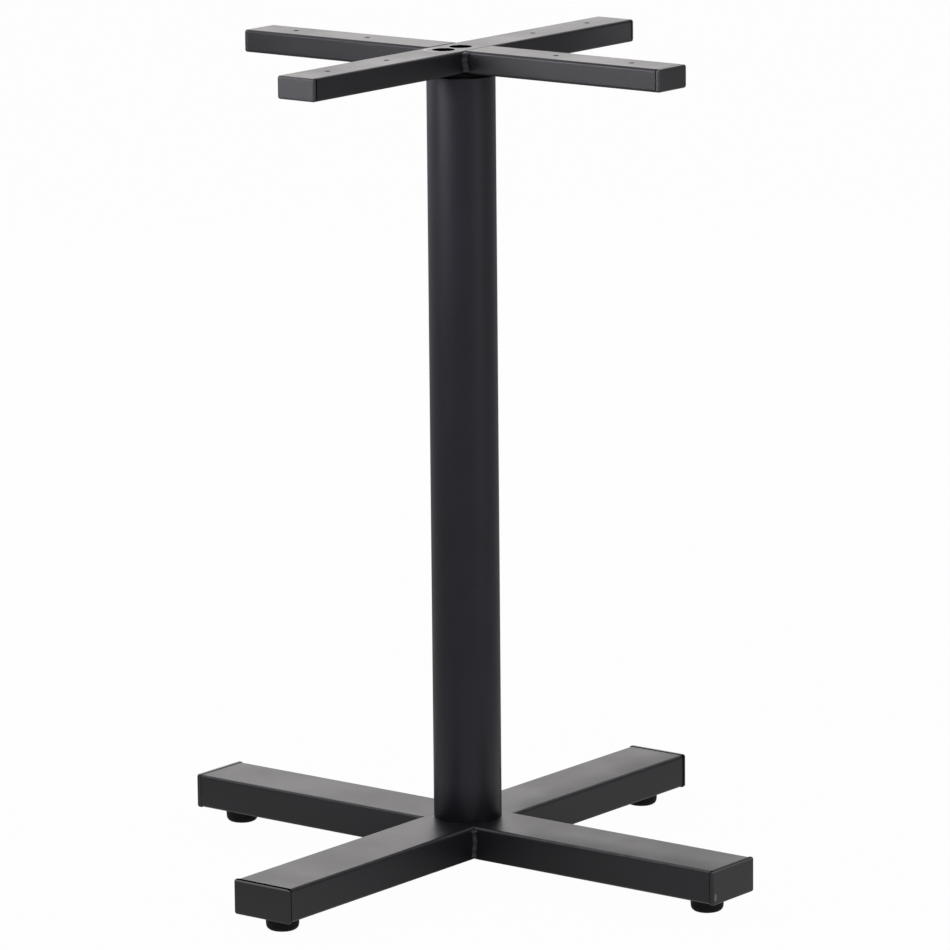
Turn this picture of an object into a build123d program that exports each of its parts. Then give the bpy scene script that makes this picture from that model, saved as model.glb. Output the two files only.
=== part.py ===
from build123d import *
import os

# Steel pedestal for a table: a welded cross of flat tube on four screw feet, a round column,
# and a smaller welded cross under the tabletop. Millimetres, +Z up, origin on the floor below
# the column. The long tube of each cross runs along X, and two short tubes meet it along Y.

# Overall sizes
overall_height = 730.0
base_span = 576.0
top_span = 452.0

# Base cross tube
base_width = 60.0
base_height = 30.0
base_wall = 2.0
base_inner_radius = 1.0

# Top cross tube
top_width = 40.0
top_height = 20.0
top_wall = 2.0
top_inner_radius = 0.5

# Column and the plates let into its ends
column_diameter = 60.0
column_wall = 1.5
column_edge = 0.5
plate_thickness = 6.0
plate_clearance = 0.1
plate_edge = 0.8

# Disc between the column's upper end and the top cross
spacer_diameter = 56.0
spacer_thickness = 4.0
spacer_edge = 0.4

# Welds
weld_leg = 3.6
weld_crown = 0.5
weld_land = 0.8

# Bolts that clamp each cross to the column, one on the axis and one beside it
bolt_diameter = 6.0
bolt_length = 16.0
bolt_pitch = 24.0
bolt_head_diameter = 10.0
bolt_head_height = 6.0
bolt_head_edge = 0.6
bolt_socket_width = 5.0
bolt_socket_depth = 3.0
bolt_tip = 0.8
washer_diameter = 12.0
washer_thickness = 1.6
bolt_hole_clearance = 0.3
thread_clearance = 0.05
access_diameter = 19.8

# Holes for the tabletop's screws
screw_hole_diameter = 5.0
inner_screw_radius = 103.0
outer_screw_radius = 183.0

# End caps: they are pressed in by hand, so their plates stand off the tubes by unlike gaps
cap_reach = 4.2
tight_cap_gap = 0.2
left_cap_gap = 0.6
front_cap_gap = 1.0
base_cap_lip = 0.5
top_cap_lip = 0.0
cap_corner_radius = 2.4
cap_edge = 1.8
neck_inset = 1.5
plug_depth = 14.0
plug_gap = 1.2
plug_wall = 1.6
rib_thickness = 1.2
rib_count = 3
rib_corner = 4.0
rib_clearance = 0.1

# Screw feet
foot_height = 15.0
foot_diameter = 29.8
foot_taper = 1.0
foot_round = 5.0
foot_rim = 0.8
foot_inset = 23.8
foot_travel = 10.0
stud_diameter = 8.0
stud_embed = 10.0
stud_tip = 1.0
stud_hole_clearance = 0.5
nut_width = 13.0
nut_height = 6.5

# Places worked out from the sizes above
base_bottom = foot_height
base_top = base_bottom + base_height
top_bottom = overall_height - top_height
column_top = top_bottom - spacer_thickness
column_length = column_top - base_top
base_length = base_span - 2 * cap_reach
top_length = top_span - 2 * cap_reach
base_radius = base_inner_radius + base_wall
top_radius = top_inner_radius + top_wall
foot_reach = base_length / 2 - foot_inset
column_bore = column_diameter / 2 - column_wall
bolt_places = (0.0, -bolt_pitch)
arm_angles = {"right": 0, "rear": 90, "left": 180, "front": 270}
short_arms = ("rear", "front")
cap_gaps = {"right": tight_cap_gap, "rear": tight_cap_gap, "left": left_cap_gap, "front": front_cap_gap}
corner_angles = (0, 90, 180, 270)


# A shape drawn for the arm that runs along +X, turned to another arm.
def on_arm(shape, angle):
    return Rot(0, 0, angle) * shape


# A short cylinder that drills one horizontal wall whose lower face is at the given height.
def wall_drill(x, wall_bottom, wall, diameter):
    return Pos(x, 0, wall_bottom + wall / 2) * Cylinder(diameter / 2, 2 * wall)


# A length of rectangular tube along X with its underside at z = 0.
def tube(start, end, width, height, wall, inner_radius):
    outer = RectangleRounded(width, height, inner_radius + wall)
    inner = RectangleRounded(width - 2 * wall, height - 2 * wall, inner_radius)
    section = Plane.YZ * Pos(0, height / 2) * (outer - inner)
    return Pos(start, 0, 0) * extrude(section, end - start)


def base_tube(start, end):
    return Pos(0, 0, base_bottom) * tube(start, end, base_width, base_height, base_wall, base_inner_radius)


def top_tube(start, end):
    return Pos(0, 0, top_bottom) * tube(start, end, top_width, top_height, top_wall, top_inner_radius)


# The hole in an arm's lower wall that a foot's stud passes through.
def foot_drill(x):
    return wall_drill(x, base_bottom, base_wall, stud_diameter + 2 * stud_hole_clearance)


# One screw hole through both walls of a top tube.
def screw_drill(x):
    return Pos(x, 0, top_bottom + top_height / 2) * Cylinder(screw_hole_diameter / 2, 2 * top_height)


# The long base tube: bolt holes in its upper wall, and openings below them for the key.
def base_long_tube():
    bolt_hole = bolt_diameter + 2 * bolt_hole_clearance
    body = base_tube(-base_length / 2, base_length / 2)
    body -= [wall_drill(x, base_bottom, base_wall, access_diameter) for x in bolt_places]
    body -= [wall_drill(x, base_top - base_wall, base_wall, bolt_hole) for x in bolt_places]
    return body - [foot_drill(x) for x in (-foot_reach, foot_reach)]


def base_short_tube():
    return base_tube(base_width / 2, base_length / 2) - foot_drill(foot_reach)


# The long top tube: the same pattern of bolt holes and key openings, turned over.
def top_long_tube():
    bolt_hole = bolt_diameter + 2 * bolt_hole_clearance
    screw_places = (inner_screw_radius, outer_screw_radius)
    body = top_tube(-top_length / 2, top_length / 2)
    body -= [wall_drill(x, top_bottom, top_wall, bolt_hole) for x in bolt_places]
    body -= [wall_drill(x, overall_height - top_wall, top_wall, access_diameter) for x in bolt_places]
    return body - [screw_drill(side * x) for x in screw_places for side in (-1, 1)]


def top_short_tube():
    body = top_tube(top_width / 2, top_length / 2)
    return body - [screw_drill(x) for x in (inner_screw_radius, outer_screw_radius)]


# A weld bead standing in the inner corner between two tubes, with a slightly full face.
def corner_weld(width, bottom, height, radius):
    crown = weld_leg / 2 + weld_crown
    face = ThreePointArc((weld_leg, 0), (crown, crown), (0, weld_leg))
    outline = make_face([Line((0, weld_leg), (0, 0)), Line((0, 0), (weld_leg, 0)), face])
    bead = extrude(outline, height - 2 * radius)
    return Pos(width / 2, width / 2, bottom + radius) * bead


def corner_welds(width, bottom, height, radius):
    bead = corner_weld(width, bottom, height, radius)
    return Compound([on_arm(bead, angle) for angle in corner_angles])


# Filler that levels the groove between the long tube's rounded edge and a short tube's end.
# It stops short of the two tangent lines, so that neither edge runs out to nothing.
def seam_weld():
    side = base_radius - weld_land
    block = Pos(weld_land + side / 2, weld_land + side / 2) * Rectangle(side, side)
    section = Plane.XZ * (block - Circle(base_radius))
    seam_length = base_width - 2 * base_radius
    bar = extrude(section, seam_length / 2, both=True)
    return Pos(base_width / 2 - base_radius, 0, base_top - base_radius) * bar


def seam_welds():
    upper = seam_weld()
    middle = base_bottom + base_height / 2
    lower = mirror(upper, Plane.XY.offset(middle))
    return Compound([on_arm(bar, arm_angles[arm]) for arm in short_arms for bar in (upper, lower)])


# The column's tube, cut square at the floor end and broken at the edge of its upper rim.
def column_tube():
    ring = Circle(column_diameter / 2) - Circle(column_bore)
    body = extrude(ring, column_length)
    rim = body.faces().sort_by(Axis.Z)[-1].edges().sort_by(SortBy.LENGTH)[-1]
    return Pos(0, 0, base_top) * chamfer(rim, column_edge)


# A round plate let into the column's end, tapped for the two bolts.
def column_plate(bottom, outer_face):
    body = Cylinder(column_bore - plate_clearance, plate_thickness)
    rim = body.faces().sort_by(Axis.Z)[outer_face].edges()
    body = chamfer(rim, plate_edge)
    thread = bolt_diameter / 2 + thread_clearance
    body -= [Pos(x, 0, 0) * Cylinder(thread, 2 * plate_thickness) for x in bolt_places]
    return Pos(0, 0, bottom + plate_thickness / 2) * body


# A disc that keeps the top cross clear of the column's rim, with holes for the two bolts.
def top_spacer():
    body = extrude(Circle(spacer_diameter / 2), spacer_thickness)
    body = chamfer(body.edges().filter_by(GeomType.CIRCLE), spacer_edge)
    drill = Cylinder(bolt_diameter / 2 + bolt_hole_clearance, 4 * spacer_thickness)
    body -= [Pos(x, 0, 0) * drill for x in bolt_places]
    return Pos(0, 0, column_top) * body


# A socket head bolt hanging head up, its head's underside at z = 0.
def bolt():
    head = extrude(Circle(bolt_head_diameter / 2), bolt_head_height)
    head = chamfer(head.faces().sort_by(Axis.Z)[-1].edges(), bolt_head_edge)
    key = extrude(RegularPolygon(bolt_socket_width / 2, 6, major_radius=False), bolt_socket_depth)
    head -= Pos(0, 0, bolt_head_height - bolt_socket_depth) * key
    shank = extrude(Circle(bolt_diameter / 2), -bolt_length)
    shank = chamfer(shank.faces().sort_by(Axis.Z)[0].edges(), bolt_tip)
    return head + shank


def washer():
    bore = bolt_diameter / 2 + bolt_hole_clearance
    return extrude(Circle(washer_diameter / 2) - Circle(bore), washer_thickness)


# Copies at the two bolts, standing up on the top cross's floor or hanging from the base's roof.
def above_column(piece, lift):
    seat = top_bottom + top_wall + lift
    return Compound([Pos(x, 0, seat) * piece for x in bolt_places])


def below_column(piece, lift):
    seat = base_top - base_wall - lift
    return Compound([Pos(x, 0, seat) * Rot(180, 0, 0) * piece for x in bolt_places])


# A moulded cap for an arm's end: a plate that stands proud of the tube by a lip, a neck that seats
# on the tube's edge and leaves a groove behind the plate, and a hollow plug with ribs that press
# on the four inner walls.
def end_cap(end, bottom, width, height, wall, lip, gap):
    bore_width = width - 2 * wall
    bore_height = height - 2 * wall
    plug_width = bore_width - 2 * plug_gap
    plug_height = bore_height - 2 * plug_gap
    outline = RectangleRounded(width + 2 * lip, height + 2 * lip, cap_corner_radius)
    plate = extrude(outline, cap_reach - gap)
    plate = Pos(0, 0, gap) * fillet(plate.faces().sort_by(Axis.Z)[-1].edges(), cap_edge)
    neck = extrude(Rectangle(width - 2 * neck_inset, height - 2 * neck_inset), gap)
    hollow = Rectangle(plug_width - 2 * plug_wall, plug_height - 2 * plug_wall)
    plug = extrude(Rectangle(plug_width, plug_height) - hollow, -plug_depth)
    across = Rectangle(bore_width - 2 * rib_clearance, plug_height - 2 * rib_corner)
    along = Rectangle(plug_width - 2 * rib_corner, bore_height - 2 * rib_clearance)
    rib = extrude(across + along - hollow, rib_thickness)
    pitch = plug_depth / (rib_count + 1)
    ribs = [Pos(0, 0, -pitch * step) * rib for step in range(1, rib_count + 1)]
    cap = plate + neck + plug + ribs
    return Pos(end, 0, bottom + height / 2) * Rot(0, 90, 0) * Rot(0, 0, 90) * cap


def base_cap(gap):
    end = base_length / 2
    return end_cap(end, base_bottom, base_width, base_height, base_wall, base_cap_lip, gap)


def top_cap(gap):
    end = top_length / 2
    return end_cap(end, top_bottom, top_width, top_height, top_wall, top_cap_lip, gap)


# A moulded foot pad, narrower towards the floor, with a blind hole that holds its stud.
def foot_pad():
    rim = foot_diameter / 2
    toe = rim - foot_taper
    outline = Polyline((0, 0), (toe, 0), (rim, foot_height), (0, foot_height), close=True)
    profile = make_face(outline)
    profile = fillet(profile.vertices().sort_by(Axis.X)[-2], foot_round)
    profile = chamfer(profile.vertices().sort_by(Axis.X)[-1], foot_rim)
    pad = revolve(Plane.XZ * profile, Axis.Z)
    socket = Cylinder(stud_diameter / 2 + thread_clearance, 2 * stud_embed)
    return Pos(foot_reach, 0, 0) * (pad - Pos(0, 0, foot_height) * socket)


# The stud rises from the pad through the wall and its nut, with the foot's travel to spare.
def foot_stud():
    bottom = foot_height - stud_embed
    top = base_bottom + base_wall + nut_height + foot_travel + stud_tip
    rod = extrude(Circle(stud_diameter / 2), top - bottom)
    rod = chamfer(rod.faces().sort_by(Axis.Z)[-1].edges(), stud_tip)
    return Pos(foot_reach, 0, bottom) * rod


# A hexagon nut welded to the inside of the lower wall.
def foot_nut():
    hexagon = extrude(RegularPolygon(nut_width / 2, 6, major_radius=False), nut_height)
    bore = Cylinder(stud_diameter / 2 + thread_clearance, 4 * nut_height)
    return Pos(foot_reach, 0, base_bottom + base_wall) * (hexagon - bore)


nodes = {
    "base_long_tube": base_long_tube(),
    "base_corner_welds": corner_welds(base_width, base_bottom, base_height, base_radius),
    "base_seam_welds": seam_welds(),
    "column_tube": column_tube(),
    "column_bottom_plate": column_plate(base_top, 0),
    "column_top_plate": column_plate(column_top - plate_thickness, -1),
    "top_spacer": top_spacer(),
    "top_long_tube": top_long_tube(),
    "top_corner_welds": corner_welds(top_width, top_bottom, top_height, top_radius),
    "base_washers": below_column(washer(), 0),
    "base_bolts": below_column(bolt(), washer_thickness),
    "top_washers": above_column(washer(), 0),
    "top_bolts": above_column(bolt(), washer_thickness),
    "foot_nuts": Compound([on_arm(foot_nut(), angle) for angle in arm_angles.values()]),
}

for arm in short_arms:
    nodes[f"base_{arm}_tube"] = on_arm(base_short_tube(), arm_angles[arm])
    nodes[f"top_{arm}_tube"] = on_arm(top_short_tube(), arm_angles[arm])

for arm, angle in arm_angles.items():
    nodes[f"base_cap_{arm}"] = on_arm(base_cap(cap_gaps[arm]), angle)
    nodes[f"top_cap_{arm}"] = on_arm(top_cap(cap_gaps[arm]), angle)
    nodes[f"foot_pad_{arm}"] = on_arm(foot_pad(), angle)
    nodes[f"foot_stud_{arm}"] = on_arm(foot_stud(), angle)

os.makedirs("parts", exist_ok=True)
for name, shape in nodes.items():
    export_step(shape, f"parts/{name}.step")
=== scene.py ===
import bpy
import math
import numpy as np
from mathutils import Matrix, Vector


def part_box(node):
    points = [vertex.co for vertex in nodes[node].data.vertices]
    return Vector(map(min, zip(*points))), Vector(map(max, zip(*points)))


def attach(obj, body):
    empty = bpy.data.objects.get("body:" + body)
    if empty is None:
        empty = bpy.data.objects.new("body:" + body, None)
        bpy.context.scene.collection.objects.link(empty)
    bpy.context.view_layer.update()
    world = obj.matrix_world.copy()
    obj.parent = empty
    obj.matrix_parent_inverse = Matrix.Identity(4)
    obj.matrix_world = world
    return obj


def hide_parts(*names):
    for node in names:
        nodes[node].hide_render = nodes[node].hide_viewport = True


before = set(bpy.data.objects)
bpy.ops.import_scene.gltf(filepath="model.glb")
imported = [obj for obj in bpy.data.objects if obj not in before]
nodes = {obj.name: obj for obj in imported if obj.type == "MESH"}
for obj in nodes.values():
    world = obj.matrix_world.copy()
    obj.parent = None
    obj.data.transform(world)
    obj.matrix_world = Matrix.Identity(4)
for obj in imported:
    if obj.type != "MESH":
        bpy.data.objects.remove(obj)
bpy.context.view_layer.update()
print("frame loaded:", len(nodes), "nodes")

bpy.context.scene.view_settings.view_transform = "Standard"
arms = ("right", "rear", "left", "front")
black = (0.0, 0.0, 0.0)
white = (1.0, 1.0, 1.0)
levelOnly = (1.0, 1.0, 0.0)  # a vector times this keeps x and y and loses z
noiseRange = (0.3, 0.7)  # where nearly all of a noise lies


def addNode(tree, kind, **settings):
    node = tree.nodes.new(kind)
    for key, value in settings.items():
        socket = key.replace("_", " ")
        if socket in node.inputs:
            node.inputs[socket].default_value = value
        else:
            setattr(node, key, value)
    return node


def link(tree, source, target):
    tree.links.new(source, target)


# one step of arithmetic on numbers and node outputs
def mathNode(tree, operation, first, second=None, clamp=False):
    node = tree.nodes.new("ShaderNodeMath")
    node.operation = operation
    node.use_clamp = clamp
    for slot, value in enumerate((first, second)):
        if value is None:
            continue
        if isinstance(value, (int, float)):
            node.inputs[slot].default_value = value
        else:
            link(tree, value, node.inputs[slot])
    return node.outputs[0]


def product(tree, first, *others):
    for value in others:
        first = mathNode(tree, "MULTIPLY", first, value)
    return first


def addSquares(tree, first, second):
    return mathNode(tree, "ADD", product(tree, first, first), product(tree, second, second))


# one step of vector arithmetic on a node output and a fixed vector
def vectorNode(tree, operation, first, second=None):
    node = addNode(tree, "ShaderNodeVectorMath", operation=operation)
    link(tree, first, node.inputs[0])
    if second is not None:
        node.inputs[1].default_value = second
    return node.outputs["Value" if operation in ("LENGTH", "DISTANCE", "DOT_PRODUCT") else "Vector"]


def axesOf(tree, place):
    split = addNode(tree, "ShaderNodeSeparateXYZ")
    link(tree, place, split.inputs[0])
    return [split.outputs[axis] for axis in ("X", "Y", "Z")]


# on a cross the smaller of |x| and |y| is the distance from an arm's middle line, the larger the one along it
def armAxes(tree, x, y):
    sizes = [mathNode(tree, "ABSOLUTE", axis) for axis in (x, y)]
    return mathNode(tree, "MINIMUM", *sizes), mathNode(tree, "MAXIMUM", *sizes)


# value from low to high becomes first to last, eased at both ends
def ease(tree, value, low, high, first=0.0, last=1.0):
    node = tree.nodes.new("ShaderNodeMapRange")
    node.interpolation_type = "SMOOTHSTEP"
    link(tree, value, node.inputs["Value"])
    for key, number in (("From Min", low), ("From Max", high), ("To Min", first), ("To Max", last)):
        node.inputs[key].default_value = number
    return node.outputs[0]


# a noise becomes a middle value, less or more by a spread
def around(tree, value, middle, spread):
    return ease(tree, value, *noiseRange, middle - spread, middle + spread)


# colour from one to the other by a mask
def blendColour(tree, mask, first, second):
    node = addNode(tree, "ShaderNodeMix", data_type="RGBA")
    link(tree, mask, node.inputs[0])
    for slot, value in ((6, first), (7, second)):
        if isinstance(value, tuple):
            node.inputs[slot].default_value = (*value, 1.0)
        else:
            link(tree, value, node.inputs[slot])
    return node.outputs[2]


def mixShaders(tree, share, first, second):
    node = addNode(tree, "ShaderNodeMixShader")
    for slot, source in enumerate((share, first, second)):
        link(tree, source, node.inputs[slot])
    return node.outputs[0]


# one for rays that leave a gloss or a glass
def mirrorRays(tree, path):
    return mathNode(tree, "MAXIMUM", path.outputs["Is Glossy Ray"], path.outputs["Is Transmission Ray"])


stageValues = {
    "floorHalf": 40.0,
    "floorColour": (0.48, 0.48, 0.48, 1.0),
    "floorSeen": 0.98,  # share of plain white in the floor that the camera sees
    "floorMirrored": 0.38,  # the largest share of it in gloss and glass
    "ringFrom": 0.02,
    "ringFull": 0.22,
    "ringEnd": 0.40,
    "ringGone": 0.52,
    "fill": 0.65,  # even light from all round
    "sideLevel": 0.22,  # how bright the room looks in gloss: to the sides, behind and in front of the part
    "behindLevel": 1.00,
    "frontLevel": 0.69,
    "sideTint": (1.00, 0.975, 1.10),
    "behindTint": (1.015, 0.99, 1.02),
    "behind": (0.731, 0.682, 0.0),
    "behindFrom": 0.42,
    "behindTo": 1.00,
    "front": (-0.790, -0.613, 0.0),
    "frontFrom": -0.30,
    "frontTo": 0.85,
    "lowTo": 0.70,
    "highFrom": 1.00,
}


# paper floor: grey where it lights the part, nearly white to the camera, and in gloss a painted pool of light,
# paler in a ring under the arms' ends than under the column or far off
def makeFloor(values):
    half = values["floorHalf"]
    mesh = bpy.data.meshes.new("floor")
    corners = [(-half, -half, 0), (half, -half, 0), (half, half, 0), (-half, half, 0)]
    mesh.from_pydata(corners, [], [(0, 1, 2, 3)])
    floor = bpy.data.objects.new("floor", mesh)
    bpy.context.scene.collection.objects.link(floor)
    material = bpy.data.materials.new("floorPaper")
    material.use_nodes = True
    tree = material.node_tree
    tree.nodes.clear()
    out = addNode(tree, "ShaderNodeOutputMaterial")
    lit = addNode(tree, "ShaderNodeBsdfDiffuse", Color=values["floorColour"])
    plain = addNode(tree, "ShaderNodeEmission", Color=(*white, 1.0), Strength=1.0)
    away = vectorNode(tree, "LENGTH", addNode(tree, "ShaderNodeTexCoord").outputs["Object"])
    inner = ease(tree, away, values["ringFrom"], values["ringFull"])
    outer = ease(tree, away, values["ringEnd"], values["ringGone"], values["floorMirrored"], 0.0)
    path = addNode(tree, "ShaderNodeLightPath")
    mirrored = product(tree, mirrorRays(tree, path), inner, outer)
    seen = product(tree, path.outputs["Is Camera Ray"], values["floorSeen"])
    share = mathNode(tree, "MAXIMUM", seen, mirrored)
    link(tree, mixShaders(tree, share, lit.outputs[0], plain.outputs[0]), out.inputs["Surface"])
    mesh.materials.append(material)


# room: white to the camera, an even fill on matt surfaces, and in gloss a bright sweep behind the part and a
# paler one in front of it that fall to the level of the unlit room at the sides and overhead
def makeWorld(values):
    world = bpy.data.worlds.new("studio")
    bpy.context.scene.world = world
    world.use_nodes = True
    tree = world.node_tree
    tree.nodes.clear()
    out = addNode(tree, "ShaderNodeOutputWorld")
    towards = addNode(tree, "ShaderNodeTexCoord").outputs["Generated"]
    bearing = vectorNode(tree, "NORMALIZE", vectorNode(tree, "MULTIPLY", towards, levelOnly))
    low = ease(tree, axesOf(tree, towards)[2], values["lowTo"], values["highFrom"], 1.0, 0.0)
    shares, lifts = {}, []
    for part in ("behind", "front"):
        along = vectorNode(tree, "DOT_PRODUCT", bearing, values[part])
        wide = ease(tree, along, values[part + "From"], values[part + "To"])
        shares[part] = product(tree, wide, low)
        lifts.append(product(tree, shares[part], values[part + "Level"] - values["sideLevel"]))
    level = mathNode(tree, "ADD", mathNode(tree, "ADD", *lifts), values["sideLevel"])
    tint = blendColour(tree, shares["behind"], values["sideTint"], values["behindTint"])
    sweep = addNode(tree, "ShaderNodeBackground")
    link(tree, tint, sweep.inputs["Color"])
    link(tree, level, sweep.inputs["Strength"])
    fill = addNode(tree, "ShaderNodeBackground", Color=(*white, 1.0), Strength=values["fill"])
    plain = addNode(tree, "ShaderNodeBackground", Color=(*white, 1.0), Strength=1.0)
    path = addNode(tree, "ShaderNodeLightPath")
    room = mixShaders(tree, mirrorRays(tree, path), fill.outputs[0], sweep.outputs[0])
    seen = mixShaders(tree, path.outputs["Is Camera Ray"], room, plain.outputs[0])
    link(tree, seen, out.inputs["Surface"])


# five softboxes and two narrow spots; a small spread in degrees keeps a lamp's light to its aim
lamps = {
    "softboxLeft": {"place": (-1.37, 0.42, 1.01), "aim": (0, -0.12, 1.00), "size": (1.00, 0.40),
                    "power": 2.1, "spread": 48.0, "colour": (1.00, 0.99, 1.04)},
    "spotLeft": {"place": (-1.25, 0.80, 0.42), "aim": (-0.05, -0.22, 0.79), "size": (0.30, 0.30),
                 "power": 0.018, "spread": 22.0, "colour": (1.00, 0.99, 1.05)},
    "softboxBackLeft": {"place": (-0.05, 1.45, 0.95), "aim": (0, 0, 0.90), "size": (0.80, 0.50),
                        "power": 0.75, "spread": 60.0, "colour": (1.00, 0.98, 1.08)},
    "softboxHighLeft": {"place": (-0.95, 1.55, 1.75), "aim": (0, 0, 0.3), "size": (1.10, 1.10),
                        "power": 5.0, "spread": 180.0, "colour": (1.00, 0.98, 1.04)},
    "spotRight": {"place": (0.76, -0.61, 0.58), "aim": (0.262, -0.02, 0.72), "size": (0.12, 0.12),
                  "power": 0.0036, "spread": 10.0, "colour": (1.00, 0.98, 1.05)},
    "softboxRight": {"place": (0.15, -2.5, 1.0), "aim": (0, 0, 0.6), "size": (1.0, 1.5),
                     "power": 5.0, "spread": 180.0, "colour": (1.00, 0.99, 1.03)},
    "softboxRear": {"place": (2.25, 2.00, 1.70), "aim": (0, 0, 0.5), "size": (2.4, 1.8),
                    "power": 13.0, "spread": 180.0, "colour": (1.03, 1.00, 0.955)},
}


def makeLamp(name, values):
    lamp = bpy.data.lights.new(name, "AREA")
    lamp.shape = "RECTANGLE"
    lamp.size, lamp.size_y = values["size"]
    lamp.energy = values["power"]
    lamp.color = values["colour"]
    lamp.spread = math.radians(values["spread"])
    holder = bpy.data.objects.new(name, lamp)
    bpy.context.scene.collection.objects.link(holder)
    place = Vector(values["place"])
    holder.location = place
    holder.visible_camera = False
    holder.rotation_euler = (Vector(values["aim"]) - place).to_track_quat("-Z", "Y").to_euler()


makeFloor(stageValues)
makeWorld(stageValues)
for name, values in lamps.items():
    makeLamp(name, values)
print("stage made")


cameraValues = {
    "azimuth": -52.2225,
    "distance": 5.44983,
    "height": 1.47999,
    "yaw": 0.095,
    "pitch": 11.6938,
    "roll": -0.5257,
    "focalPixels": 6356.56,
    "framePixels": 950.0,
    "sensorWidth": 36.0,
    "farthest": 200.0,
}


# camera: stands on a circle about the column, then turned by yaw, pitch and roll
def makeCamera(values):
    azimuth, yaw, pitch, roll = (math.radians(values[key]) for key in ("azimuth", "yaw", "pitch", "roll"))
    reach = values["distance"]
    place = Vector((math.sin(azimuth) * reach, -math.cos(azimuth) * reach, values["height"]))
    up = Vector((0, 0, 1))
    ahead = Vector((-place.x, -place.y, 0)).normalized()
    turned = ahead * math.cos(yaw) + ahead.cross(up) * math.sin(yaw)
    right = turned.cross(up)
    look = turned * math.cos(pitch) - up * math.sin(pitch)
    top = right.cross(look)
    side = right * math.cos(roll) + top * math.sin(roll)
    crown = top * math.cos(roll) - right * math.sin(roll)
    lens = bpy.data.cameras.new("photoCamera")
    lens.sensor_width = values["sensorWidth"]
    lens.lens = values["focalPixels"] * values["sensorWidth"] / values["framePixels"]
    lens.clip_end = values["farthest"]
    camera = bpy.data.objects.new("photoCamera", lens)
    bpy.context.scene.collection.objects.link(camera)
    turn = Matrix((side, crown, -look)).transposed().to_4x4()
    camera.matrix_world = Matrix.Translation(place) @ turn
    bpy.context.scene.camera = camera


makeCamera(cameraValues)
print("camera set")


def newFinish(name):
    material = bpy.data.materials.new(name)
    material.use_nodes = True
    tree = material.node_tree
    shader = next(node for node in tree.nodes if node.type == "BSDF_PRINCIPLED")
    place = addNode(tree, "ShaderNodeTexCoord").outputs["Object"]
    return material, tree, shader, place


def noise(tree, place, scale, detail=3.0, roughness=0.5):
    node = addNode(tree, "ShaderNodeTexNoise", Scale=scale, Detail=detail, Roughness=roughness)
    link(tree, place, node.inputs["Vector"])
    return node.outputs[0]


# a colour made lighter or darker by a number
def shadeColour(tree, colour, amount):
    node = addNode(tree, "ShaderNodeVectorMath", operation="SCALE")
    node.inputs[0].default_value = colour
    link(tree, amount, node.inputs["Scale"])
    return node.outputs[0]


def bumps(tree, shader, *layers):
    normal = None
    for height, distance in layers:
        node = addNode(tree, "ShaderNodeBump", Strength=1.0, Distance=distance)
        link(tree, height, node.inputs["Height"])
        if normal is not None:
            link(tree, normal, node.inputs["Normal"])
        normal = node.outputs[0]
    link(tree, normal, shader.inputs["Normal"])


# a cross's half width, lower and upper faces and reach, the band that is worn and carries a painted highlight, and
# how strongly
wearAndHighlightValues = {"patchFrom": 0.35, "patchTo": 0.65, "frontFull": -0.09, "frontEnd": -0.04}
baseEdge = {"half": 0.030, "low": 0.015, "high": 0.045, "reach": 0.288, "band": 0.0022, "rim": 1.0,
            "patch": 70.0, "least": 0.55, "front": 0.95, "other": 0.45}
topEdge = {"half": 0.020, "low": 0.710, "high": 0.730, "reach": 0.226, "band": 0.0014, "rim": 1.0,
           "patch": 70.0, "least": 0.25, "front": 0.25, "other": 0.25}
baseCapEdge = {"half": 0.0305, "low": 0.0145, "high": 0.0455, "reach": 0.288, "band": 0.0026, "rim": 0.3,
               "patch": 60.0, "least": 0.4, "front": 0.3, "other": 0.2}
topCapEdge = {"half": 0.020, "low": 0.710, "high": 0.730, "reach": 0.226, "band": 0.0022, "rim": 0.3,
              "patch": 60.0, "least": 0.4, "front": 1.0, "other": 1.0}


# worn arrises of a cross of flat tubes, lighter also as a painted highlight: where two of width, height and reach
# are within a band of their limits the mask is one, or the rim's share where height is one of them, broken up by
# noise, with a strength for the front arm, where y is well below nought, and another for the rest
def arrisWearAndHighlightMask(tree, place, edge):
    x, y, z = axesOf(tree, place)
    small, large = armAxes(tree, x, y)
    band = edge["band"]
    middle = (edge["low"] + edge["high"]) / 2
    deep = (edge["high"] - edge["low"]) / 2
    tall = mathNode(tree, "ABSOLUTE", mathNode(tree, "SUBTRACT", z, middle))
    nearSide = ease(tree, small, edge["half"] - band, edge["half"] - band / 4)
    nearFace = ease(tree, tall, deep - band, deep - band / 4, 0.0, edge["rim"])
    nearEnd = ease(tree, large, edge["reach"] - band, edge["reach"] - band / 4)
    total = mathNode(tree, "ADD", mathNode(tree, "ADD", nearSide, nearFace), nearEnd)
    both = mathNode(tree, "SUBTRACT", total, 1.0, clamp=True)
    values = wearAndHighlightValues
    mottle = noise(tree, place, edge["patch"])
    patchy = ease(tree, mottle, values["patchFrom"], values["patchTo"], edge["least"], 1.0)
    sided = ease(tree, y, values["frontFull"], values["frontEnd"], edge["front"], edge["other"])
    return product(tree, both, patchy, sided)


paleRingHighlight = {"centre": (-0.0286, 0.0059), "radius": 0.0092, "width": 0.0016, "core": 0.3,
              "towards": (-0.613, 0.790), "fullAt": 1 / 3, "levelFrom": 0.7290, "levelTo": 0.7298,
              "breakScale": 180.0, "breakFrom": 0.3, "breakTo": 0.6, "breakLeast": 0.4}
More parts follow.
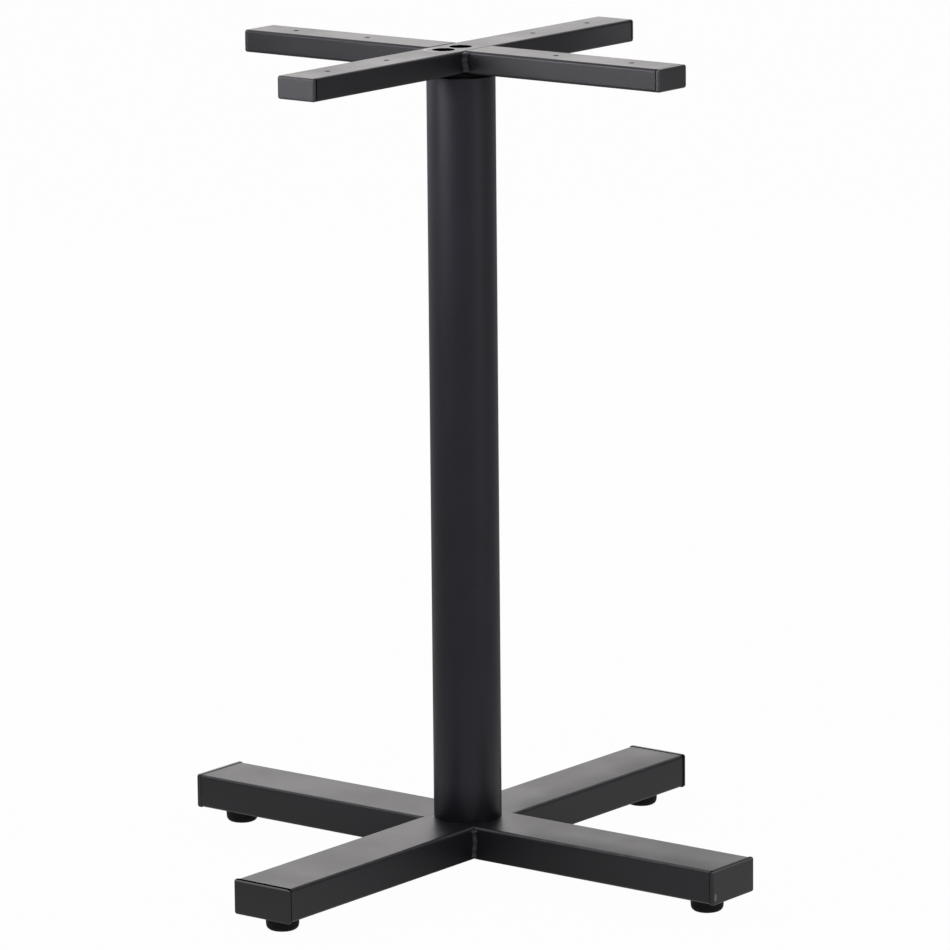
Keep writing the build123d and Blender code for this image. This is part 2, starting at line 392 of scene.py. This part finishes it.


# painted highlight: a pale ring about an upright axis, lit on one side: the distance from the axis within a width
# of the radius, growing from nothing on one side to full past the middle, on the top face only, and broken up by
# noise
def ringHighlightMask(tree, place, ring):
    flat = vectorNode(tree, "MULTIPLY", place, levelOnly)
    away = vectorNode(tree, "DISTANCE", flat, (*ring["centre"], 0))
    off = mathNode(tree, "ABSOLUTE", mathNode(tree, "SUBTRACT", away, ring["radius"]))
    line = ease(tree, off, ring["width"] * ring["core"], ring["width"], 1.0, 0.0)
    along = vectorNode(tree, "DOT_PRODUCT", flat, (*ring["towards"], 0))
    start = sum(middle * way for middle, way in zip(ring["centre"], ring["towards"]))
    sided = ease(tree, along, start - ring["radius"], start + ring["radius"] * ring["fullAt"])
    upper = ease(tree, axesOf(tree, place)[2], ring["levelFrom"], ring["levelTo"])
    mottle = noise(tree, place, ring["breakScale"])
    broken = ease(tree, mottle, ring["breakFrom"], ring["breakTo"], ring["breakLeast"], 1.0)
    return product(tree, line, sided, upper, broken)


screwHoleShade = {"reaches": (0.103, 0.183), "radius": 0.0026, "soft": 0.0003, "keyPitch": 0.0240,
              "keyRadius": 0.0099, "inside": 0.0186, "floor": 0.7116, "roof": 0.7284}


# painted shade: the walls of screw and key holes in a cross, less than a radius from an axis, where the squares of
# the two distances to it are added, and the hollow of the tubes between their walls, painted dark where shade falls
# in them
def holeShadeMask(tree, place, holes):
    x, y, z = axesOf(tree, place)
    small, large = armAxes(tree, x, y)
    soft, halfPitch = holes["soft"], holes["keyPitch"] / 2
    squares = [addSquares(tree, small, mathNode(tree, "SUBTRACT", large, reach)) for reach in holes["reaches"]]
    near = mathNode(tree, "MINIMUM", *squares)
    screws = ease(tree, near, holes["radius"] ** 2, (holes["radius"] + soft) ** 2, 1.0, 0.0)
    between = mathNode(tree, "ABSOLUTE", mathNode(tree, "ADD", x, halfPitch))
    key = addSquares(tree, mathNode(tree, "SUBTRACT", between, halfPitch), y)
    keys = ease(tree, key, holes["keyRadius"] ** 2, (holes["keyRadius"] + soft) ** 2, 1.0, 0.0)
    under = ease(tree, z, holes["roof"], holes["roof"] + soft, 1.0, 0.0)
    over = ease(tree, z, holes["floor"] - soft, holes["floor"])
    inner = ease(tree, small, holes["inside"], holes["inside"] + soft, 1.0, 0.0)
    hollow = product(tree, inner, under, over)
    return mathNode(tree, "MAXIMUM", screws, mathNode(tree, "MAXIMUM", keys, hollow))


openSeamShade = {"middle": 0.0206, "width": 0.0034, "half": 0.0190, "level": 0.7268, "soft": 0.0004}


# painted shade in the mouth of a seam left open between two tubes: a band in y, between two sides, above a level
def seamShadeMask(tree, place, seam):
    x, y, z = axesOf(tree, place)
    soft, half = seam["soft"], seam["half"]
    off = mathNode(tree, "ABSOLUTE", mathNode(tree, "SUBTRACT", y, seam["middle"]))
    near = ease(tree, off, seam["width"] / 2, seam["width"] / 2 + soft, 1.0, 0.0)
    side = ease(tree, mathNode(tree, "ABSOLUTE", x), half, half + soft, 1.0, 0.0)
    upper = ease(tree, z, seam["level"] - soft, seam["level"])
    return product(tree, near, side, upper)


dullTops = {"armFrom": 0.03, "armTo": 0.09, "edgeFrom": -0.006, "edgeTo": 0.030, "edgeMore": 0.095,
            "frontMore": 0.042, "level": 0.0440, "soft": 0.0006}


# roughness added on the tops of the front and right arms, where x - y is above nought: the distance across is x on
# the front arm and y on the right one, and more is added as it falls below nought, and a little all over the front
def dullMask(tree, place, dull):
    x, y, z = axesOf(tree, place)
    apart = mathNode(tree, "SUBTRACT", x, y)
    onFront = mathNode(tree, "LESS_THAN", mathNode(tree, "ABSOLUTE", x), mathNode(tree, "ABSOLUTE", y))
    across = mathNode(tree, "ADD", y, product(tree, onFront, apart))
    below = product(tree, across, -1.0)
    edge = ease(tree, below, dull["edgeFrom"], dull["edgeTo"], 0.0, dull["edgeMore"])
    whole = product(tree, onFront, dull["frontMore"])
    arm = ease(tree, apart, dull["armFrom"], dull["armTo"])
    upper = ease(tree, z, dull["level"] - dull["soft"], dull["level"])
    return product(tree, mathNode(tree, "ADD", edge, whole), arm, upper)


paintedFootShade = {"low": 0.047, "high": 0.085, "share": 0.55}


# painted shade on the column's foot: darker towards the base, where the base shades it
def paintedShadeMask(tree, place, shade):
    return ease(tree, axesOf(tree, place)[2], shade["low"], shade["high"], shade["share"], 0.0)


coatValues = {
    "crossColour": (0.0082, 0.0077, 0.0105),
    "columnColour": (0.0084, 0.0075, 0.0150),
    # beadColour, about twice crossColour, is painted light: the same coat made lighter on the weld beads so they
    # look lit
    "beadColour": (0.0160, 0.0155, 0.0180),
    "wornAndLit": (0.100, 0.098, 0.102),
    "scuffedAndLit": (0.42, 0.42, 0.41),
    "crossGloss": 0.39,  # roughness of the two crosses, of the column and of the weld beads
    "columnGloss": 0.41,
    "beadGloss": 0.34,
    "glossSpread": 0.03,
    "rubbedGloss": -0.05,
    "ior": 1.50,
    "cloudScale": 14.0,
    "toneSpread": 0.15,
    "peelScale": 620.0,
    "peelHeight": 0.000030,
    "grainScale": 2600.0,
    "grainHeight": 0.000005,
}


# black powder coat: slow clouds of tone and gloss, orange peel of about a millimetre and a finer grain under it
def powderCoat(name, part, edge=None, ring=None, seam=None, holes=None, shade=None, dull=None):
    values = coatValues
    material, tree, shader, place = newFinish(name)
    cloud = noise(tree, place, values["cloudScale"], detail=4.0, roughness=0.6)
    peel = noise(tree, place, values["peelScale"], detail=2.0)
    grain = noise(tree, place, values["grainScale"], detail=2.0)
    colour = shadeColour(tree, values[part + "Colour"], around(tree, cloud, 1.0, values["toneSpread"]))
    gloss = around(tree, cloud, values[part + "Gloss"], values["glossSpread"])
    if edge:
        # worn arrises, lighter also as a painted highlight
        wornAndLit = arrisWearAndHighlightMask(tree, place, edge)
        colour = blendColour(tree, wornAndLit, colour, values["wornAndLit"])
        gloss = mathNode(tree, "ADD", gloss, product(tree, wornAndLit, values["rubbedGloss"]))
    # painted highlight: a pale ring near the key holes, lit on one side
    if ring:
        colour = blendColour(tree, ringHighlightMask(tree, place, ring), colour, values["scuffedAndLit"])
    dark = None
    # painted shade: the open seam's mouth, the holes' walls and the tubes' hollow go black
    if seam and holes:
        dark = mathNode(tree, "MAXIMUM", seamShadeMask(tree, place, seam), holeShadeMask(tree, place, holes))
    # painted shade: the column's foot goes black towards the base
    if shade:
        dark = paintedShadeMask(tree, place, shade)
    if dark is not None:
        colour = blendColour(tree, dark, colour, black)
        link(tree, dark, shader.inputs["Metallic"])  # black metal throws little back, as a gap does
    if dull:
        gloss = mathNode(tree, "ADD", gloss, dullMask(tree, place, dull))
    link(tree, colour, shader.inputs["Base Color"])
    link(tree, gloss, shader.inputs["Roughness"])
    shader.inputs["IOR"].default_value = values["ior"]
    bumps(tree, shader, (peel, values["peelHeight"]), (grain, values["grainHeight"]))
    return material


baseGrooveShade = {"from": 0.2830, "to": 0.2862, "soft": 0.0006, "share": 0.9}
topGrooveShade = {"from": 0.2210, "to": 0.2239, "soft": 0.0006, "share": 0.9}


# painted shade in the groove behind the plate of a cap on a long tube: |x| between the tube's end and the plate's
# front half
def grooveShadeMask(tree, place, groove):
    along = mathNode(tree, "ABSOLUTE", axesOf(tree, place)[0])
    start = ease(tree, along, groove["from"] - groove["soft"], groove["from"])
    stop = ease(tree, along, groove["to"] - groove["soft"], groove["to"], groove["share"], 0.0)
    return product(tree, start, stop)


capScuff = {"centre": (-0.0268, -0.2880, 0.0215), "squash": (1.5, 1.0, 0.75), "radius": 0.0036, "fade": 1.5,
            "ragged": 500.0, "strength": 0.62}


# a rubbed spot with a ragged rim: the distance from its centre, with each axis squashed by its own share
def spotMask(tree, place, spot):
    apart = vectorNode(tree, "SUBTRACT", place, spot["centre"])
    away = vectorNode(tree, "LENGTH", vectorNode(tree, "MULTIPLY", apart, spot["squash"]))
    ragged = product(tree, noise(tree, place, spot["ragged"]), spot["radius"])
    far = mathNode(tree, "ADD", away, ragged)
    return ease(tree, far, spot["radius"], spot["radius"] * spot["fade"], spot["strength"], 0.0)


capShadeAndHighlight = {"to": 0.2875, "soft": 0.0003, "level": 0.0447, "armFrom": 0.1, "armTo": 0.2, "left": 1.0, "front": 0.7,
           "highlightFrom": 0.2868, "highlightLevel": 0.0439}


# painted shade in the dark line along the top of the left and front caps, where x + y is below nought: the distance
# along the arm short of a limit, above a level, with a share for each arm; and a painted highlight on the pale edge
# under it, down to a lower level
def lineShadeAndHighlightMasks(tree, place, line):
    x, y, z = axesOf(tree, place)
    large = armAxes(tree, x, y)[1]
    soft = line["soft"]
    nearer = mathNode(tree, "LESS_THAN", mathNode(tree, "ADD", x, y), 0.0)
    share = ease(tree, y, -line["armTo"], -line["armFrom"], line["front"], line["left"])
    sided = product(tree, nearer, share)
    behind = ease(tree, large, line["to"] - soft, line["to"], 1.0, 0.0)
    upper = ease(tree, z, line["level"] - soft, line["level"])
    outer = ease(tree, large, line["highlightFrom"] - soft, line["highlightFrom"])
    lower = ease(tree, z, line["highlightLevel"] - soft, line["highlightLevel"])
    return product(tree, sided, behind, upper), product(tree, sided, lower, outer)


rearRimLight = {"armFrom": 0.20, "armTo": 0.21, "to": 0.2842, "soft": 0.0003}


# painted light on the back rim of the rear cap, which sits in shade: y far out on the rear arm and short of the
# plate's side
def rimLightMask(tree, place, rim):
    y = axesOf(tree, place)[1]
    start = ease(tree, y, rim["armFrom"], rim["armTo"])
    stop = ease(tree, y, rim["to"], rim["to"] + rim["soft"], 1.0, 0.0)
    return product(tree, start, stop)


capValues = {
    "baseColour": (0.0086, 0.0081, 0.0110),
    # topColour, about three times baseColour, is painted light: a lighter copy of the same cap plastic for the
    # brighter-looking top caps
    "topColour": (0.0300, 0.0296, 0.0330),
    "wornAndLit": (0.055, 0.055, 0.056),
    "scuffedAndLit": (0.20, 0.20, 0.20),
    "backRimLight": (0.09, 0.09, 0.09),
    "paleEdgeHighlight": (0.13, 0.13, 0.13),
    "roughness": 0.31,
    "glossSpread": 0.04,
    "ior": 1.52,
    "cloudScale": 25.0,
    "toneSpread": 0.12,
    "grainScale": 1500.0,
    "grainHeight": 0.000012,
}


# moulded black plastic of the end caps: fine spark grain, worn rims lighter also as a painted highlight, painted
# shade in the grooves, painted light on a back rim, a scuffed corner
def capPlastic(name, part, edge, groove, scuff=None, line=None, rim=None):
    values = capValues
    material, tree, shader, place = newFinish(name)
    cloud = noise(tree, place, values["cloudScale"])
    grain = noise(tree, place, values["grainScale"], roughness=0.6)
    colour = shadeColour(tree, values[part + "Colour"], around(tree, cloud, 1.0, values["toneSpread"]))
    # worn rims, lighter also as a painted highlight
    colour = blendColour(tree, arrisWearAndHighlightMask(tree, place, edge), colour, values["wornAndLit"])
    if scuff:
        colour = blendColour(tree, spotMask(tree, place, scuff), colour, values["scuffedAndLit"])
    # painted light on the rear cap's back rim
    if rim:
        colour = blendColour(tree, rimLightMask(tree, place, rim), colour, values["backRimLight"])
    # painted shade in the groove behind each cap's plate
    dark = grooveShadeMask(tree, place, groove)
    # painted shade in the dark line on the caps' tops, and a painted highlight on the pale edge under it
    if line:
        deep, pale = lineShadeAndHighlightMasks(tree, place, line)
        colour = blendColour(tree, pale, colour, values["paleEdgeHighlight"])
        dark = mathNode(tree, "MAXIMUM", dark, deep)
        link(tree, blendColour(tree, deep, white, black), shader.inputs["Specular Tint"])  # dark at a slant too
    link(tree, blendColour(tree, dark, colour, black), shader.inputs["Base Color"])
    link(tree, dark, shader.inputs["Metallic"])
    link(tree, around(tree, grain, values["roughness"], values["glossSpread"]), shader.inputs["Roughness"])
    shader.inputs["IOR"].default_value = values["ior"]
    bumps(tree, shader, (grain, values["grainHeight"]))
    return material


footValues = {
    "colour": (0.0045, 0.0045, 0.0048),
    "dust": (0.020, 0.020, 0.019),
    "roughness": 0.62,
    "glossSpread": 0.08,
    "footSpecular": 0.20,
    "spacerSpecular": 0.08,
    "cloudScale": 60.0,
    "toneSpread": 0.15,
    "grainScale": 900.0,
    "grainHeight": 0.00002,
    "dustHeight": 0.0025,
    "dustFrom": 0.4,
    "dustTo": 0.65,
}


# dull black plastic of the feet and the spacer: coarse moulded texture, patches of grey dust near the floor
def footPlastic(name, part):
    values = footValues
    material, tree, shader, place = newFinish(name)
    grain = noise(tree, place, values["grainScale"], roughness=0.6)
    cloud = noise(tree, place, values["cloudScale"])
    low = ease(tree, axesOf(tree, place)[2], 0.0, values["dustHeight"], 1.0, 0.0)
    dusty = product(tree, low, ease(tree, cloud, values["dustFrom"], values["dustTo"]))
    colour = shadeColour(tree, values["colour"], around(tree, cloud, 1.0, values["toneSpread"]))
    link(tree, blendColour(tree, dusty, colour, values["dust"]), shader.inputs["Base Color"])
    link(tree, around(tree, grain, values["roughness"], values["glossSpread"]), shader.inputs["Roughness"])
    shader.inputs["Specular IOR Level"].default_value = values[part + "Specular"]
    bumps(tree, shader, (grain, values["grainHeight"]))
    return material


zincValues = {
    "pale": (0.62, 0.63, 0.65),
    "deep": (0.42, 0.43, 0.46),
    "roughness": 0.30,
    "glossSpread": 0.10,
    "patchScale": 320.0,
    "markScale": 1400.0,
    "markHeight": 0.00001,
}


# bright zinc on bolts, washers, nuts and studs: spangle patches a few millimetres wide, turning marks in the gloss
def zincPlate(name):
    values = zincValues
    material, tree, shader, place = newFinish(name)
    patch = addNode(tree, "ShaderNodeTexVoronoi", Scale=values["patchScale"])
    link(tree, place, patch.inputs["Vector"])
    marks = noise(tree, place, values["markScale"], roughness=0.6)
    spangle = axesOf(tree, patch.outputs["Color"])[0]
    link(tree, blendColour(tree, spangle, values["deep"], values["pale"]), shader.inputs["Base Color"])
    link(tree, around(tree, marks, values["roughness"], values["glossSpread"]), shader.inputs["Roughness"])
    shader.inputs["Metallic"].default_value = 1.0
    bumps(tree, shader, (marks, values["markHeight"]))
    return material


baseCoat = powderCoat("basePowderCoat", "cross", baseEdge, dull=dullTops)
columnCoat = powderCoat("columnPowderCoat", "column", shade=paintedFootShade)
topCoat = powderCoat("topPowderCoat", "cross", topEdge, ring=paleRingHighlight, seam=openSeamShade, holes=screwHoleShade)
litBeadCoat = powderCoat("litBeadPowderCoat", "bead")
baseCap = capPlastic("baseCapPlastic", "base", baseCapEdge, baseGrooveShade, capScuff, capShadeAndHighlight, rearRimLight)
litTopCap = capPlastic("litTopCapPlastic", "top", topCapEdge, topGrooveShade)
footBlack = footPlastic("footPlastic", "foot")
spacerBlack = footPlastic("spacerPlastic", "spacer")
zinc = zincPlate("zincPlate")


def finishOf(name):
    if name.startswith("foot_pad"):
        return footBlack
    if name == "top_spacer":
        return spacerBlack
    if name.startswith("foot_") or name.endswith(("bolts", "washers")):
        return zinc
    if "_cap_" in name:
        return baseCap if name.startswith("base") else litTopCap
    if name.startswith("column"):
        return columnCoat
    return baseCoat if name.startswith("base") else topCoat


for name, node in nodes.items():
    node.data.materials.clear()
    node.data.materials.append(finishOf(name))
print("finishes set")


# rings of points, rows by columns, skinned to a closed body with a face across each end
def skinRings(points):
    rows, columns = points.shape[:2]
    row, column = np.meshgrid(np.arange(rows - 1), np.arange(columns), indexing="ij")
    corner = row * columns + column
    beside = row * columns + (column + 1) % columns
    quads = np.stack([corner, beside, beside + columns, corner + columns], axis=-1).reshape(-1, 4)
    lastRow = (rows - 1) * columns + np.arange(columns)
    faces = quads.tolist() + [np.arange(columns)[::-1].tolist(), lastRow.tolist()]
    return points.reshape(-1, 3), faces


def makePiece(name, bodies, material, rider, replaced):
    points, faces, start = [], [], 0
    for rings in bodies:
        bodyPoints, bodyFaces = skinRings(rings)
        points.append(bodyPoints)
        faces += [[index + start for index in face] for face in bodyFaces]
        start += len(bodyPoints)
    mesh = bpy.data.meshes.new(name)
    mesh.from_pydata(np.concatenate(points).tolist(), [], faces)
    mesh.polygons.foreach_set("use_smooth", np.ones(len(faces), dtype=bool))
    mesh.materials.append(material)
    mesh.update()
    piece = bpy.data.objects.new(name, mesh)
    bpy.context.scene.collection.objects.link(piece)
    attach(piece, rider)
    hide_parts(replaced)


beadValues = {
    "rows": 120,
    "columns": 21,
    "bulge": 1.45,
    "bury": 0.0006,
    "ripplePitch": 0.0019,
    "rippleHeight": 0.00016,
    "rippleBow": 0.9,
    "wander": 0.14,
    "swayTurns": 1.25,
    "quickTurns": 3.4,
    "quickPhase": 2.3,
    "quickShare": 0.5,
    "quickLean": 0.7,  # share of the quick sine and of the foot's swell that the second leg has
    "footLean": 0.6,
    "headSwell": 0.30,
    "headAt": 0.90,
    "headWide": 0.07,
    "footSwell": 0.35,
    "footAt": 0.05,
    "footWide": 0.09,
    "endTaper": 0.07,
    "endLeast": 0.02,
}


# weld bead in an upright inner corner: across it a bulged fillet, cos and sin of a quarter turn raised to a power
# and scaled by the two legs; up it the legs wander as two sines, swell at the start and run-out, shrink almost to
# nothing at the ends, and carry overlapping ripples bowed downwards in the middle
def weldBead(corner, outX, outY, low, high, leg, phase):
    values = beadValues
    up = np.linspace(0, 1, values["rows"])[:, None]
    turn = np.linspace(0, math.pi / 2, values["columns"])[None, :]
    tall = high - low
    endBand, least, wander = 2 * values["endTaper"], values["endLeast"], values["wander"]
    ends = np.clip((np.abs(2 * up - 1) - 1 + endBand) / endBand, 0, 1)
    taper = np.sqrt(np.clip(1 - ends ** 2, 0, 1)) * (1 - least) + least
    head = values["headSwell"] * np.exp(-((up - values["headAt"]) / values["headWide"]) ** 2)
    foot = values["footSwell"] * np.exp(-((up - values["footAt"]) / values["footWide"]) ** 2)
    sway = wander * np.sin(2 * math.pi * (values["swayTurns"] * up + phase))
    quickTurn = values["quickTurns"] * up + values["quickPhase"] * phase
    quick = values["quickShare"] * wander * np.sin(2 * math.pi * quickTurn)
    legX = leg * taper * (1 + head + foot + sway + quick)
    legY = leg * taper * (1 + head + values["footLean"] * foot - sway + values["quickLean"] * quick)
    step = up * tall / values["ripplePitch"] + values["rippleBow"] * np.sin(2 * turn) + phase
    ripple = values["rippleHeight"] * taper * np.sqrt(np.abs(np.sin(math.pi * step))) * np.sin(2 * turn)
    alongX = legX * np.cos(turn) ** values["bulge"] + ripple
    alongY = legY * np.sin(turn) ** values["bulge"] + ripple
    bury = np.full_like(legX, -values["bury"])
    alongX = np.concatenate([legX, alongX, bury, bury], axis=1)
    alongY = np.concatenate([bury, alongY, legY, bury], axis=1)
    level = np.broadcast_to(low + up * tall, alongX.shape)
    rings = np.stack([corner[0] + outX * alongX, corner[1] + outY * alongY, level], axis=-1)
    return rings if outX * outY > 0 else rings[:, ::-1]


crossBeads = {
    "base_weld_beads": {"node": "base_corner_welds", "half": 0.030, "low": 0.0165, "high": 0.0437,
                        "leg": 0.0030, "phases": (0.10, 0.62, 0.31, 0.83)},
    "top_weld_beads": {"node": "top_corner_welds", "half": 0.020, "low": 0.7113, "high": 0.7290,
                       "leg": 0.0038, "phases": (0.55, 0.05, 0.77, 0.28)},
}
signs = ((-1, -1), (1, -1), (1, 1), (-1, 1))
for name, values in crossBeads.items():
    half = values["half"]
    bodies = [weldBead((x * half, y * half), x, y, values["low"], values["high"], values["leg"], phase)
              for (x, y), phase in zip(signs, values["phases"])]
    makePiece(name, bodies, litBeadCoat, "frame", values["node"])
print("weld beads made")


studValues = {
    "pitch": 0.00125,
    "depth": 0.00072,
    "flat": 0.22,
    "stepsPerPitch": 10,
    "columns": 36,
    "cone": 0.0009,
}


# threaded stud: a round bar whose radius falls from crest to root with the fraction of height over pitch less
# the turn, flat on crest and root, and coned at both ends
def threadedStud(box):
    values = studValues
    (x0, y0, low), (x1, y1, high) = box
    radius = (x1 - x0) / 2
    rows = int(round((high - low) / values["pitch"] * values["stepsPerPitch"]))
    level = np.linspace(low, high, rows)[:, None]
    turn = np.linspace(0, 2 * math.pi, values["columns"], endpoint=False)[None, :]
    phase = (level / values["pitch"] - turn / (2 * math.pi)) % 1.0
    groove = np.clip((np.abs(2 * phase - 1) - values["flat"]) / (1 - 2 * values["flat"]), 0, 1)
    cone = np.clip(values["cone"] - np.minimum(level - low, high - level), 0, None)
    size = np.minimum(radius - values["depth"] * groove, radius - cone)
    middle = ((x0 + x1) / 2, (y0 + y1) / 2)
    levels = np.broadcast_to(level, size.shape)
    return np.stack([middle[0] + size * np.cos(turn), middle[1] + size * np.sin(turn), levels], axis=-1)


for arm in arms:
    node = "foot_stud_" + arm
    makePiece("thread_" + arm, [threadedStud(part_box(node))], zinc, "foot_" + arm, node)
print("studs made")
